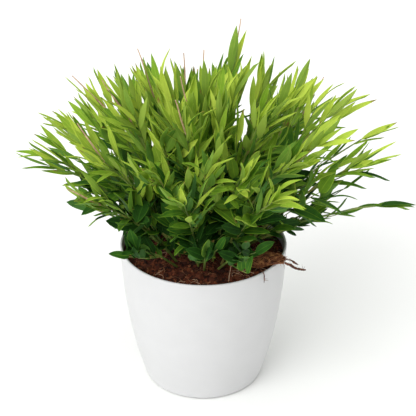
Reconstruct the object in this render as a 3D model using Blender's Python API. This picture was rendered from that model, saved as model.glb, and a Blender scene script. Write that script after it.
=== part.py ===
"""Potted bamboo grass: a clump of leafy grass shoots in a plain white cover pot.

The pot stands on its flat base at the origin, +Z is up and the side to be seen
first faces -Y. All sizes are in metres.
"""

from math import cos, pi, radians, sin, sqrt

import bmesh
import bpy
import numpy as np
from mathutils import Matrix, Vector
from mathutils.bvhtree import BVHTree

# Cover pot
POT_HEIGHT = 0.126
RIM_RADIUS = 0.070
BASE_RADIUS = 0.0507
BELLY_RADIUS = (0.0641, 0.0688)  # the two handles that swell the wall between base and rim
WALL = 0.0021
FLOOR = 0.003
FOOT_FILLET = 0.0035
WALL_RINGS = 5
POT_SIDES = 40

# Potting soil
SOIL_BELOW_RIM = 0.0095
SOIL_MOUND = 0.0045
SOIL_RIPPLE = 0.0006
GAP = 0.0003  # between pieces that touch

# Leafy shoots
CULM_RADIUS = (0.0011, 0.0006)  # at the foot and at the tip
CULM_SPACING = 0.0062
NUDGE = 0.035
MOST_NUDGES = 20
SOCKET_DEPTH = 0.006
SOCKET_ABOVE = 0.003
SOCKET_RADIUS = 0.0023
SOCKET_SIDES = 5
COURSE_STEPS = 12
NODES_ON_CULM = 5
FIRST_NODE = 0.30  # part of the culm's length below its first leaf
TOP_NODE = 0.84  # and below the blade that ends it
NODE_HALF_HEIGHT = 0.0008
LEAF_LENGTH = (0.026, 0.040)
LEAF_WIDTH = 0.0072
LEAF_THICKNESS = 0.0005
LEAF_CLEARANCE = 0.0003
LEAF_ANGLE = (0.50, 0.72)  # between a blade and its culm, in radians
LEAF_TURN = (-0.35, 0.35)  # of a blade about its culm
LEAF_OUTLINE = ((0.14, 0.42), (0.42, 1.0), (1.0, 0.09))
TIP_OUTLINE = ((0.38, 1.0), (1.0, 0.09))
BLADE_DROOP = 0.08
BLADE_TRIES = 7  # a blade that would touch something is tried again:
SHORTER_EACH_TRY = 0.1  # by this part of its length,
WIDER_EACH_TRY = 0.2  # with this much more turn about its culm,
TWIST_EACH_TRY = 0.3  # and for the blade at the top, with this twist in radians
GREENS = ((0.16, 0.36, 0.06), (0.10, 0.27, 0.05), (0.22, 0.42, 0.08))
FRONT_LEAN = 0.80  # shoots on the -Y side stand this much steeper
SEED = 11

# One ring of shoots each: how many, foot radius, lean at foot and tip (degrees), length
RINGS = (
    (5, 0.0065, 4, 14, 0.172),
    (11, 0.015, 13, 32, 0.174),
    (15, 0.024, 25, 53, 0.164),
    (9, 0.031, 36, 66, 0.154),
    (8, 0.037, 48, 80, 0.082),
)
RING_TURN = (0.3, 0.9, 0.1, 0.45, 0.95)  # where each ring's first shoot stands, in steps
LONGER_TO_RIGHT = 0.05

# Strays that reach out of the clump: azimuth, foot radius, leans (degrees), length
STRAYS = (
    (-5, 0.031, 54, 87, 0.152),
    (22, 0.030, 45, 75, 0.176),
    (160, 0.030, 42, 70, 0.148),
    (62, 0.019, 9, 16, 0.192),
)

# Matted root clump that has grown over the rim: place, half width and half height of each section
ROOT_CLUMP = (
    ((0.0215, -0.0245, 0.1240), 0.0018, 0.0012),
    ((0.0240, -0.0255, 0.1243), 0.0052, 0.0024),
    ((0.0300, -0.0260, 0.1250), 0.0075, 0.0036),
    ((0.0370, -0.0262, 0.1254), 0.0088, 0.0044),
    ((0.0480, -0.0290, 0.1250), 0.0084, 0.0042),
    ((0.0545, -0.0318, 0.1278), 0.0070, 0.0032),
    ((0.0600, -0.0343, 0.1296), 0.0055, 0.0027),
    ((0.0660, -0.0370, 0.1294), 0.0036, 0.0018),
)
CLUMP_LUMPS = 0.12
CLUMP_CLEARANCE = 0.0025  # between it and the culms

# Loose root strands that leave the clump: place and radius along each
ROOT_STRANDS = (
    (
        ((0.0660, -0.0396, 0.1288), 0.0009),
        ((0.0700, -0.0409, 0.1276), 0.0011),
        ((0.0740, -0.0418, 0.1258), 0.0010),
        ((0.0785, -0.0426, 0.1244), 0.0009),
        ((0.0831, -0.0428, 0.1240), 0.0006),
    ),
    (
        ((0.0672, -0.0359, 0.1298), 0.0004),
        ((0.0705, -0.0372, 0.1300), 0.0005),
        ((0.0738, -0.0386, 0.1288), 0.0010),
        ((0.0768, -0.0392, 0.1268), 0.0003),
    ),
    (
        ((0.0452, -0.0402, 0.1246), 0.0006),
        ((0.0464, -0.0455, 0.1262), 0.0005),
        ((0.0474, -0.0503, 0.1272), 0.0004),
        ((0.0487, -0.0523, 0.1262), 0.0004),
        ((0.0490, -0.0529, 0.1225), 0.0004),
        ((0.0489, -0.0531, 0.1182), 0.0002),
    ),
)
STRAND_SIDES = 6


def finish(name, colour, roughness):
    """A Principled material of one plain colour."""
    material = bpy.data.materials.new(name)
    material.use_nodes = True
    shader = material.node_tree.nodes["Principled BSDF"]
    shader.inputs["Base Color"].default_value = (*colour, 1.0)
    shader.inputs["Roughness"].default_value = roughness
    shader.inputs["Metallic"].default_value = 0.0
    return material


def add_object(name, mesh, material, smooth_below=None):
    """Puts a mesh in the scene as a named object with one material."""
    piece = bpy.data.objects.new(name, mesh)
    bpy.context.scene.collection.objects.link(piece)
    mesh.materials.append(material)
    if smooth_below is not None:
        mesh.shade_smooth()
        mesh.set_sharp_from_angle(angle=radians(smooth_below))
    return piece


def turned_mesh(name, profile, sides):
    """A closed solid of revolution from (radius, height) points that start and end on the axis."""
    bm = bmesh.new()
    points = [bm.verts.new((r, 0.0, z)) for r, z in profile]
    edges = [bm.edges.new(pair) for pair in zip(points, points[1:])]
    bmesh.ops.spin(
        bm,
        geom=points + edges,
        axis=(0, 0, 1),
        cent=(0, 0, 0),
        angle=2 * pi,
        steps=sides,
        use_merge=True,
    )
    bmesh.ops.remove_doubles(bm, verts=bm.verts, dist=1e-6)
    bmesh.ops.recalc_face_normals(bm, faces=bm.faces)
    mesh = bpy.data.meshes.new(name)
    bm.to_mesh(mesh)
    bm.free()
    return mesh


def wall_radius(height):
    """Outer radius of the pot at a height: one smooth swelling curve from base to rim."""
    t = height / POT_HEIGHT
    handles = (BASE_RADIUS, *BELLY_RADIUS, RIM_RADIUS)
    weights = ((1 - t) ** 3, 3 * t * (1 - t) ** 2, 3 * t * t * (1 - t), t**3)
    return sum(w * r for w, r in zip(weights, handles))


def arc(centre, radius, start, end, steps):
    """Points on an arc, by angles in degrees."""
    angles = np.radians(np.linspace(start, end, steps + 1))
    return [(centre[0] + radius * cos(a), centre[1] + radius * sin(a)) for a in angles]


def wall_heights():
    """Heights of the wall's rings, between the foot's fillet and the lip."""
    return np.linspace(FOOT_FILLET, POT_HEIGHT - WALL / 2, WALL_RINGS + 2)[1:-1]


def cavity():
    """Radius and height of the pot's inside, from the floor's corner up to the lip."""
    corner = (wall_radius(FLOOR) - WALL - FLOOR, FLOOR)
    lip = (RIM_RADIUS - WALL, POT_HEIGHT - WALL / 2)
    return [corner, *((wall_radius(z) - WALL, z) for z in wall_heights()), lip]


def make_pot():
    """The pot: a flat base, a wall that swells to the rim and a rounded lip."""
    foot_centre = (wall_radius(FOOT_FILLET) - FOOT_FILLET, FOOT_FILLET)
    lip_centre = (RIM_RADIUS - WALL / 2, POT_HEIGHT - WALL / 2)
    profile = [(0.0, 0.0)]
    profile += arc(foot_centre, FOOT_FILLET, -90, 0, 3)
    profile += [(wall_radius(z), z) for z in wall_heights()]
    profile += arc(lip_centre, WALL / 2, 0, 180, 6)
    profile += cavity()[-2::-1]
    profile.append((0.0, FLOOR))
    white_plastic = finish("white_plastic", (0.86, 0.86, 0.85), 0.35)
    return add_object("pot", turned_mesh("pot", profile, POT_SIDES), white_plastic, 40)


def soil_height(x, y):
    """Height of the soil's surface: a low mound with shallow hollows."""
    radius = sqrt(x * x + y * y)
    edge = wall_radius(POT_HEIGHT - SOIL_BELOW_RIM) - WALL - GAP
    mound = SOIL_MOUND * (1 - (radius / edge) ** 2)
    ripple = SOIL_RIPPLE * (sin(160 * x + 1) + sin(190 * y + 2) + sin(120 * (x + y)))
    return POT_HEIGHT - SOIL_BELOW_RIM + mound + ripple * (1 - radius / edge)


def make_soil(courses):
    """The potting soil: a plug that fills the pot, with a socket for each culm."""
    top = POT_HEIGHT - SOIL_BELOW_RIM
    radii, heights = np.array(cavity()).T
    edge = np.interp(top, heights, radii) - GAP
    profile = [(0.0, FLOOR + GAP), (radii[0] - GAP, FLOOR + GAP)]
    profile += [(r - GAP, z) for r, z in cavity()[1:] if z < top]
    profile += [(edge * part, top) for part in (1.0, 0.8, 0.6, 0.4, 0.2, 0.0)]
    mesh = turned_mesh("soil", profile, POT_SIDES)
    for vertex in mesh.vertices:
        if vertex.co.z > top - 1e-6:
            vertex.co.z = soil_height(vertex.co.x, vertex.co.y)
    soil = add_object("soil", mesh, finish("potting_soil", (0.045, 0.022, 0.012), 0.95), 50)

    cutter_bm = bmesh.new()
    for course in courses:
        along = (course[1] - course[0]).normalized()
        middle = (course[0] - along * GAP + course[1] + along * SOCKET_ABOVE) / 2
        placed = Matrix.Translation(middle) @ along.to_track_quat("Z", "Y").to_matrix().to_4x4()
        bmesh.ops.create_cone(
            cutter_bm,
            cap_ends=True,
            segments=SOCKET_SIDES,
            radius1=SOCKET_RADIUS,
            radius2=SOCKET_RADIUS,
            depth=SOCKET_DEPTH + GAP + SOCKET_ABOVE,
            matrix=placed,
        )
    cutter_mesh = bpy.data.meshes.new("soil_sockets")
    cutter_bm.to_mesh(cutter_mesh)
    cutter_bm.free()
    cutter = bpy.data.objects.new("soil_sockets", cutter_mesh)
    bpy.context.scene.collection.objects.link(cutter)
    cutter.hide_render = True
    cutter.display_type = "WIRE"
    sockets = soil.modifiers.new("sockets", "BOOLEAN")
    sockets.operation = "DIFFERENCE"
    sockets.object = cutter
    sockets.use_self = True
    return soil


def section_frame(along):
    """Level and upright directions across a run."""
    level = along.cross(Vector((0, 0, 1))).normalized()
    return level, level.cross(along).normalized()


def swept_mesh(name, sections, sides):
    """A closed solid through elliptical sections of (centre, half width, half height)."""
    centres = [Vector(centre) for centre, _, _ in sections]
    bm = bmesh.new()
    rings = []
    for index, (_, half_width, half_height) in enumerate(sections):
        before, after = centres[max(index - 1, 0)], centres[min(index + 1, len(centres) - 1)]
        level, upright = section_frame(after - before)
        ring = []
        for side in range(sides):
            angle = 2 * pi * side / sides
            offset = level * cos(angle) * half_width + upright * sin(angle) * half_height
            ring.append(bm.verts.new(centres[index] + offset))
        rings.append(ring)
    for low, high in zip(rings, rings[1:]):
        for i in range(sides):
            j = (i + 1) % sides
            bm.faces.new((low[i], low[j], high[j], high[i]))
    bm.faces.new(rings[0][::-1])
    bm.faces.new(rings[-1])
    bmesh.ops.recalc_face_normals(bm, faces=bm.faces)
    mesh = bpy.data.meshes.new(name)
    bm.to_mesh(mesh)
    bm.free()
    return mesh


def make_root_clump(rng):
    """The matted roots and coir that have grown out over the rim."""
    mesh = swept_mesh("root_clump", ROOT_CLUMP, 12)
    middle = [Vector(centre) for centre, _, _ in ROOT_CLUMP]
    for vertex in mesh.vertices:
        nearest = min(middle, key=lambda centre: (centre - vertex.co).length)
        vertex.co += (nearest - vertex.co) * rng.uniform(0.0, CLUMP_LUMPS)
    return add_object("root_clump", mesh, finish("root_fibre", (0.17, 0.075, 0.035), 0.9), 60)


def make_root_strands():
    """The loose roots that stick out of the clump, one hanging in front of the rim."""
    brown_root = finish("brown_root", (0.12, 0.05, 0.025), 0.85)
    strands = []
    for number, strand in enumerate(ROOT_STRANDS, 1):
        name = f"root_strand_{number}"
        sections = [(centre, radius, radius) for centre, radius in strand]
        strands.append(add_object(name, swept_mesh(name, sections, STRAND_SIDES), brown_root, 60))
    return strands


def shoot_plans(rng):
    """Azimuth, foot radius, leans and length of every shoot: the strays, then ring by ring."""
    plans = []
    for azimuth, foot, lean_foot, lean_tip, length in STRAYS:
        plans.append((radians(azimuth), foot, radians(lean_foot), radians(lean_tip), length))
    for (count, foot, lean_foot, lean_tip, length), turn in zip(RINGS, RING_TURN):
        for index in range(count):
            azimuth = 2 * pi * (index + turn + rng.uniform(-0.18, 0.18)) / count
            steeper = 1 - (1 - FRONT_LEAN) * max(0.0, -sin(azimuth))
            leans = [radians(a) * steeper * rng.uniform(0.93, 1.07) for a in (lean_foot, lean_tip)]
            reach = length * (1 + LONGER_TO_RIGHT * cos(azimuth)) * rng.uniform(0.93, 1.05)
            plans.append((azimuth, foot, *leans, reach))
    return plans


def culm_course(azimuth, foot, lean_foot, lean_tip, length):
    """Points along a culm, which leaves the soil at one lean and arches over to another."""
    outward = Vector((cos(azimuth), sin(azimuth), 0.0))
    upward = Vector((0.0, 0.0, 1.0))
    place = outward * foot
    place.z = soil_height(place.x, place.y)
    points = [place - (outward * sin(lean_foot) + upward * cos(lean_foot)) * SOCKET_DEPTH]
    points.append(place.copy())
    for step in range(COURSE_STEPS):
        lean = lean_foot + (lean_tip - lean_foot) * (step + 0.5) / COURSE_STEPS
        place += (outward * sin(lean) + upward * cos(lean)) * length / COURSE_STEPS
        points.append(place.copy())
    return points


def dense_points(course):
    """Points along a culm, a third of a step apart."""
    points = np.array(course)
    steps = np.diff(points, axis=0)
    return np.concatenate([points[:-1] + steps * third / 3 for third in range(3)])


def is_free(course, others):
    """True if a culm keeps its distance from the others and from the root clump."""
    points = dense_points(course)
    for other in others:
        gaps = np.linalg.norm(points[:, None] - dense_points(other)[None], axis=2)
        if gaps.min() < CULM_SPACING:
            return False
    for centre, half_width, _ in ROOT_CLUMP:
        if np.linalg.norm(points - centre, axis=1).min() < half_width + CLUMP_CLEARANCE:
            return False
    return True


def clear_courses(plans):
    """The culms' courses, each turned a little about the pot's axis if it would touch another."""
    courses = []
    for azimuth, *rest in plans:
        for nudge in range(2 * MOST_NUDGES):
            turn = NUDGE * ((nudge + 1) // 2) * (-1) ** nudge
            course = culm_course(azimuth + turn, *rest)
            if is_free(course, courses):
                break
        courses.append(course)
    return courses


def point_on(course, part):
    """Place and direction at a part of a culm's length above the soil."""
    at = 1 + part * (len(course) - 2)
    index = min(int(at), len(course) - 2)
    step = course[index + 1] - course[index]
    return course[index] + step * (at - index), step.normalized()


def square_section(centre, first, second, half_first, half_second):
    """Four corners round a centre."""
    a, b = first * half_first, second * half_second
    return [centre + a + b, centre - a + b, centre - a - b, centre + a - b]


def search_tree(sections):
    """A search tree of the tube through a run of four-cornered sections."""
    points = [corner for section in sections for corner in section]
    faces = []
    for low in range(0, len(points) - 4, 4):
        faces += [(low + i, low + (i + 1) % 4, low + 4 + (i + 1) % 4, low + 4 + i) for i in range(4)]
    faces += [(3, 2, 1, 0), tuple(range(len(points) - 4, len(points)))]
    return BVHTree.FromPolygons(points, faces)


def culm_tree(course):
    """A search tree of a culm above the soil, fattened by the clearance that pieces keep."""
    sections = []
    for part in np.linspace(0.0, TOP_NODE, 8):
        place, along = point_on(course, part)
        level, upright = section_frame(along)
        radius = CULM_RADIUS[0] + LEAF_CLEARANCE
        sections.append(square_section(place, level, upright, radius, radius))
    return search_tree(sections)


def blade_sections(root, lean, breadth, length, outline, spare=0.0):
    """Sections of a blade along its outline of (part of length, part of width), drooping a little."""
    flat = lean.cross(breadth).normalized()
    sections = []
    for part, width in outline:
        droop = Vector((0.0, 0.0, -BLADE_DROOP * length * part * part))
        centre = root + lean * length * part + droop
        half_width = LEAF_WIDTH * width / 2 + spare
        sections.append(
            square_section(centre, breadth, flat, half_width, LEAF_THICKNESS / 2 + spare)
        )
    return sections


def grow_blade(bm, face, sections):
    """Extrudes a face of the culm through the sections of a blade."""
    corners = [vertex.co.copy() for vertex in face.verts]
    middle = sum(corners, Vector()) / 4
    target = sections[-2]
    heart = sum(target, Vector()) / 4
    orders = [[(turn + way * i) % 4 for i in range(4)] for turn in range(4) for way in (1, -1)]

    def likeness(order):
        pairs = zip(corners, (target[k] for k in order))
        return sum((a - middle).normalized().dot((b - heart).normalized()) for a, b in pairs)

    best = max(orders, key=likeness)
    for section in sections:
        face = bmesh.ops.extrude_discrete_faces(bm, faces=[face])["faces"][0]
        for vertex, k in zip(face.verts, best):
            vertex.co = section[k]


def make_shoot(name, course, material, rng, solid, blades):
    """A culm with its leaves, grown as one piece: the blades are extruded from the culm."""
    chord = (course[-1] - course[0]).normalized()
    rank = Matrix.Rotation(rng.uniform(-0.8, 0.8), 3, chord) @ section_frame(chord)[0]
    nodes = np.linspace(FIRST_NODE, TOP_NODE, NODES_ON_CULM)
    stations = [(0.0, -SOCKET_DEPTH), (FIRST_NODE / 2, 0.0)]
    for part in nodes:
        stations += [(part, -NODE_HALF_HEIGHT), (part, NODE_HALF_HEIGHT)]

    bm = bmesh.new()
    rings = []
    for part, shift in stations:
        place, along = point_on(course, part)
        side = (rank - along * rank.dot(along)).normalized()
        radius = CULM_RADIUS[0] + (CULM_RADIUS[1] - CULM_RADIUS[0]) * part
        section = square_section(place + along * shift, side, along.cross(side), radius, radius)
        rings.append([bm.verts.new(corner) for corner in section])
    bm.faces.new(rings[0][::-1])
    walls = [
        [bm.faces.new((low[i], low[(i + 1) % 4], high[(i + 1) % 4], high[i])) for i in range(4)]
        for low, high in zip(rings, rings[1:])
    ]
    top = bm.faces.new(rings[-1])

    for index, part in enumerate(nodes):
        root, along = point_on(course, part)
        side = (rank - along * rank.dot(along)).normalized() * (1 if index % 2 == 0 else -1)
        wall = walls[2 + 2 * index][3 if index % 2 == 0 else 1]
        angle = rng.uniform(*LEAF_ANGLE)
        lean = along * cos(angle) + side * sin(angle)
        for attempt in range(BLADE_TRIES):
            length = rng.uniform(*LEAF_LENGTH) * (1 - SHORTER_EACH_TRY * attempt)
            turn_angle = rng.uniform(*LEAF_TURN) * (1 + WIDER_EACH_TRY * attempt)
            turn = Matrix.Rotation(turn_angle, 3, along)
            way = (turn @ lean).normalized()
            breadth = along.cross(way).normalized()
            tree = search_tree(blade_sections(root, way, breadth, length, LEAF_OUTLINE, LEAF_CLEARANCE))
            if not any(tree.overlap(other) for other in solid + blades):
                blades.append(tree)
                grow_blade(bm, wall, blade_sections(root, way, breadth, length, LEAF_OUTLINE))
                break

    root, along = point_on(course, TOP_NODE)
    side = (rank - along * rank.dot(along)).normalized()
    reach = (course[-1] - root).length
    for attempt in range(BLADE_TRIES):
        length = reach * (1 - SHORTER_EACH_TRY * attempt)
        breadth = Matrix.Rotation(TWIST_EACH_TRY * attempt, 3, along) @ along.cross(side)
        tree = search_tree(blade_sections(root, along, breadth, length, TIP_OUTLINE, LEAF_CLEARANCE))
        if not any(tree.overlap(other) for other in solid + blades):
            blades.append(tree)
            grow_blade(bm, top, blade_sections(root, along, breadth, length, TIP_OUTLINE))
            break

    bmesh.ops.recalc_face_normals(bm, faces=bm.faces)
    mesh = bpy.data.meshes.new(name)
    bm.to_mesh(mesh)
    bm.free()
    return add_object(name, mesh, material)


def object_tree(piece):
    """A search tree of an object's own mesh."""
    points = [vertex.co for vertex in piece.data.vertices]
    return BVHTree.FromPolygons(points, [tuple(face.vertices) for face in piece.data.polygons])


def main():
    for piece in list(bpy.data.objects):
        bpy.data.objects.remove(piece, do_unlink=True)
    rng = np.random.default_rng(SEED)
    courses = clear_courses(shoot_plans(rng))
    fixed = [make_pot(), make_soil(courses), make_root_clump(rng), *make_root_strands()]
    solid = [object_tree(piece) for piece in fixed]
    culms = [culm_tree(course) for course in courses]
    blades = []
    for number, course in enumerate(courses, 1):
        green = finish(f"green_leaf_{number:02d}", GREENS[number % len(GREENS)], 0.5)
        make_shoot(f"shoot_{number:02d}", course, green, rng, solid + culms, blades)


main()
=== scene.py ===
"""Potted bamboo grass: the finished look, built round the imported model."""

from math import cos, pi, radians, sin, sqrt

import bmesh
import bpy
import numpy as np
from mathutils import Matrix, Vector, noise


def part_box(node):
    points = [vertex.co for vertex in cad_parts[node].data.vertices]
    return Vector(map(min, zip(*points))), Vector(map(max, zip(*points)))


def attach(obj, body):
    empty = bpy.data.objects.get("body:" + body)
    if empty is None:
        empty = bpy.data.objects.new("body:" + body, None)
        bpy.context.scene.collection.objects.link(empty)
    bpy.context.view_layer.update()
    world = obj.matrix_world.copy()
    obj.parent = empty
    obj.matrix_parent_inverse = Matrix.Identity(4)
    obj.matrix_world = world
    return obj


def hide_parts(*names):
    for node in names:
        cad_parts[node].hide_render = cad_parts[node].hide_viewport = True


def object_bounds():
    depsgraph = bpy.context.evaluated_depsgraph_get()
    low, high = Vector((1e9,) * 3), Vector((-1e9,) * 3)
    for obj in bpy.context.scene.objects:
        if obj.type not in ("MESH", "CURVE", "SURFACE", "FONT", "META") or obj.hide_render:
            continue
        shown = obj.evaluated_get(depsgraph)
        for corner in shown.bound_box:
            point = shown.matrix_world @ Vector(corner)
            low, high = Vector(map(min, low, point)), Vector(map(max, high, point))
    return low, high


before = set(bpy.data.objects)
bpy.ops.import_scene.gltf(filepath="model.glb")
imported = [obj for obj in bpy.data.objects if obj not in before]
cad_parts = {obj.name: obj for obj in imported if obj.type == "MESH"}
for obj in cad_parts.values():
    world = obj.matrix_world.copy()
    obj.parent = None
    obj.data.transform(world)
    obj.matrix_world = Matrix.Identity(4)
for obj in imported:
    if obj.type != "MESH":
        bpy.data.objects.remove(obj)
cad_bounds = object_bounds()
floor_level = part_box("pot")[0][2]
pot_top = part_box("pot")[1][2]
rim_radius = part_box("pot")[1][0]


# --- The room -----------------------------------------------------------------------------
# A white table top under soft studio light. The camera looks down at the pot from in front,
# from far enough away that the pot's sides hardly converge.

CAMERA_DISTANCE = 1.0724  # from the middle of the rim
CAMERA_ABOVE = radians(30.3)
CAMERA_PITCH = radians(28.8)
CAMERA_YAW = radians(-0.24)
CAMERA_LENS = 110.4
SENSOR = 36.0


def srgb(code):
    """A hex colour as linear red, green, blue and alpha."""
    channels = [int(code[i : i + 2], 16) / 255 for i in (1, 3, 5)]
    return [c / 12.92 if c <= 0.04045 else ((c + 0.055) / 1.055) ** 2.4 for c in channels] + [1.0]


def new_material(name):
    """An empty material, its node tree and its Principled surface."""
    material = bpy.data.materials.new(name)
    material.use_nodes = True
    return material, material.node_tree, material.node_tree.nodes["Principled BSDF"]


def add_node(tree, kind, settings=None, stops=(), **inputs):
    """Adds a node: inputs go by name or, as _0 and _1, by number, and take values or sockets."""
    node = tree.nodes.new(kind)
    for key, value in (settings or {}).items():
        setattr(node, key, value)
    for index, (position, code) in enumerate(stops):
        colours = node.color_ramp.elements
        stop = colours[index] if index < 2 else colours.new(position)
        stop.position = position
        stop.color = srgb(code)
    for key, value in inputs.items():
        socket = node.inputs[int(key[1:])] if key[0] == "_" else node.inputs[key.replace("_", " ")]
        if isinstance(value, bpy.types.NodeSocket):
            tree.links.new(value, socket)
        else:
            socket.default_value = value
    return node


def deselect():
    """Leaves nothing selected."""
    bpy.ops.object.select_all(action="DESELECT")


deselect()
bpy.ops.mesh.primitive_plane_add(size=60.0, location=(0, 0, floor_level - 0.0002))
table_top = bpy.context.object
table_top.name = "table_top"
white_table, tree, surface = new_material("white_table_top")
surface.inputs["Base Color"].default_value = srgb("#F2F3F1")
surface.inputs["Roughness"].default_value = 0.9
surface.inputs["Specular IOR Level"].default_value = 0.1
table_top.data.materials.append(white_table)

world = bpy.data.worlds.new("studio")
bpy.context.scene.world = world
world.use_nodes = True
world.node_tree.nodes["Background"].inputs["Color"].default_value = srgb("#FFFFFF")
world.node_tree.nodes["Background"].inputs["Strength"].default_value = 0.34

# The side each soft light comes from, its strength and how wide its source looks in degrees
for name, direction, strength, width in (
    ("top_light", (0.0, -0.05, 1.0), 2.1, 110),
    ("key_light", (-0.55, -0.70, 0.66), 1.6, 45),
    ("side_light", (-1.0, -0.25, 0.35), 0.35, 50),
):
    light = bpy.data.lights.new(name, "SUN")
    light.energy = strength
    light.angle = radians(width)
    lamp = bpy.data.objects.new(name, light)
    lamp.rotation_euler = Vector(direction).to_track_quat("Z", "Y").to_euler()
    bpy.context.scene.collection.objects.link(lamp)

camera_data = bpy.data.cameras.new("camera")
camera_data.lens = CAMERA_LENS
camera_data.sensor_width = SENSOR
camera = bpy.data.objects.new("camera", camera_data)
camera_back = CAMERA_DISTANCE * cos(CAMERA_ABOVE)
camera.location = (0.0, -camera_back, pot_top + CAMERA_DISTANCE * sin(CAMERA_ABOVE))
camera.rotation_euler = (pi / 2 - CAMERA_PITCH, 0.0, CAMERA_YAW)
bpy.context.scene.collection.objects.link(camera)
bpy.context.scene.camera = camera
bpy.context.scene.view_settings.view_transform = "Standard"


# --- The pot ------------------------------------------------------------------------------
# A cover pot of white polypropylene, injection moulded in one piece: a flat base, a thin wall
# that swells towards the rim, and a rounded lip. It holds the plant and only stands there.

WALL = 0.0021
POT_FLOOR = 0.003
FOOT_FILLET = 0.0035
BASE_RADIUS = 0.0507
WALL_HANDLES = (0.0641, 0.0688)  # the two radii that swell the wall between base and rim
POT_SIDES = 144


def wall_radius(height):
    """Outer radius of the pot at a height."""
    t = height / pot_top
    handles = (BASE_RADIUS, *WALL_HANDLES, rim_radius)
    weights = ((1 - t) ** 3, 3 * t * (1 - t) ** 2, 3 * t * t * (1 - t), t**3)
    return sum(w * r for w, r in zip(weights, handles))


def arc(centre, radius, start, end, steps):
    """Points on an arc, by angles in degrees."""
    angles = np.radians(np.linspace(start, end, steps + 1))
    return [(centre[0] + radius * cos(a), centre[1] + radius * sin(a)) for a in angles]


def raise_rings(name, profile, sides):
    """Makes a round body from a disc, extruded and resized from ring to ring of the profile."""
    deselect()
    start_radius, start_height = profile[0]
    bpy.ops.mesh.primitive_circle_add(
        vertices=sides, radius=start_radius, fill_type="NGON", location=(0, 0, start_height)
    )
    body = bpy.context.object
    body.name = name
    bpy.ops.object.transform_apply(location=True)
    bpy.ops.object.mode_set(mode="EDIT")
    bpy.ops.mesh.select_mode(type="FACE")
    bpy.ops.mesh.select_all(action="SELECT")
    for (radius, height), (next_radius, next_height) in zip(profile, profile[1:]):
        lift = (0, 0, next_height - height)
        bpy.ops.mesh.extrude_region_move(TRANSFORM_OT_translate={"value": lift})
        size = next_radius / radius
        bpy.ops.transform.resize(value=(size, size, 1), center_override=(0, 0, next_height))
    bpy.ops.mesh.select_all(action="SELECT")
    bpy.ops.mesh.normals_make_consistent(inside=False)
    bpy.ops.object.mode_set(mode="OBJECT")
    return body


def shade(piece, angle):
    """Shades a piece smooth, but for edges sharper than the angle in degrees."""
    deselect()
    piece.select_set(True)
    bpy.context.view_layer.objects.active = piece
    bpy.ops.object.shade_smooth_by_angle(angle=radians(angle))


def fit(piece, material, slot, *nodes):
    """Gives a piece its material and says what it rides on and which nodes it stands for."""
    piece.data.materials.clear()
    piece.data.materials.append(material)
    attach(piece, "root")
    if nodes:
        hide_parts(*nodes)


lip_height = pot_top - WALL / 2
outer_heights = np.linspace(FOOT_FILLET, lip_height, 26)[1:-1]
inner_heights = np.linspace(lip_height, POT_FLOOR * 2, 14)[1:]
foot_centre = (wall_radius(FOOT_FILLET) - FOOT_FILLET, FOOT_FILLET)
pot_profile = arc(foot_centre, FOOT_FILLET, -90, 0, 8)
pot_profile += [(wall_radius(z), z) for z in outer_heights]
pot_profile += arc((rim_radius - WALL / 2, lip_height), WALL / 2, 0, 180, 10)
pot_profile += [(wall_radius(z) - WALL, z) for z in inner_heights]
pot_profile.append((wall_radius(POT_FLOOR) - WALL - POT_FLOOR, POT_FLOOR))
pot = raise_rings("cover_pot", pot_profile, POT_SIDES)
shade(pot, 40)

# White polypropylene, injection moulded: a satin skin, hardly mottled, with the mould's fine grain
polypropylene, tree, surface = new_material("moulded_white_polypropylene")
place = add_node(tree, "ShaderNodeTexCoord").outputs["Object"]
mottle = add_node(tree, "ShaderNodeTexNoise", Vector=place, Scale=60.0, Detail=3.0).outputs["Fac"]
white = add_node(
    tree, "ShaderNodeMix", {"data_type": "RGBA"}, _0=mottle, _6=srgb("#CECECF"), _7=srgb("#D4D4D5")
)
tree.links.new(white.outputs[2], surface.inputs["Base Color"])
satin = add_node(tree, "ShaderNodeMapRange", _0=mottle, _3=0.34, _4=0.42)
tree.links.new(satin.outputs[0], surface.inputs["Roughness"])
grain = add_node(tree, "ShaderNodeTexNoise", Vector=place, Scale=2600.0, Detail=2.0).outputs["Fac"]
relief = add_node(tree, "ShaderNodeBump", Height=grain, Strength=0.04, Distance=0.0002)
tree.links.new(relief.outputs["Normal"], surface.inputs["Normal"])
surface.inputs["IOR"].default_value = 1.49
fit(pot, polypropylene, "pot", "pot")


# --- The potting soil ---------------------------------------------------------------------
# A plug of coir and peat that fills the pot to a little below its rim. Its surface is loose:
# crumbs, bark chips and curled coir fibres lie on it, pressed into it at the edge.

GAP = 0.0003
SOIL_BELOW_RIM = 0.0095
SOIL_MOUND = 0.0045
SOIL_RIPPLE = 0.0006
SOIL_SIDES = 224
SOIL_RING_STEP = 0.0014
SOIL_LUMP = 0.0016  # of the surface, up and down
CRUMB_COUNT = 760
CHIP_COUNT = 300
FIBRE_COUNT = 170
THREAD_COUNT = 26

rng = np.random.default_rng(3)
soil_top = pot_top - SOIL_BELOW_RIM
soil_edge = wall_radius(soil_top) - WALL - GAP


def soil_height(x, y):
    """Height of the soil's surface: a low mound with shallow hollows."""
    radius = sqrt(x * x + y * y)
    mound = SOIL_MOUND * (1 - (radius / soil_edge) ** 2)
    ripple = SOIL_RIPPLE * (sin(160 * x + 1) + sin(190 * y + 2) + sin(120 * (x + y)))
    return soil_top + mound + ripple * (1 - radius / soil_edge)


def crumbly(x, y):
    """Height of the soil's surface with its lumps, which die out at the pot's wall."""
    lumps = noise.fractal(Vector((x, y, 0)) * 260, 0.6, 2.1, 5)
    inside = min(1.0, (soil_edge - sqrt(x * x + y * y)) / 0.003)
    return soil_height(x, y) + SOIL_LUMP * lumps * max(inside, 0.0)


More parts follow.
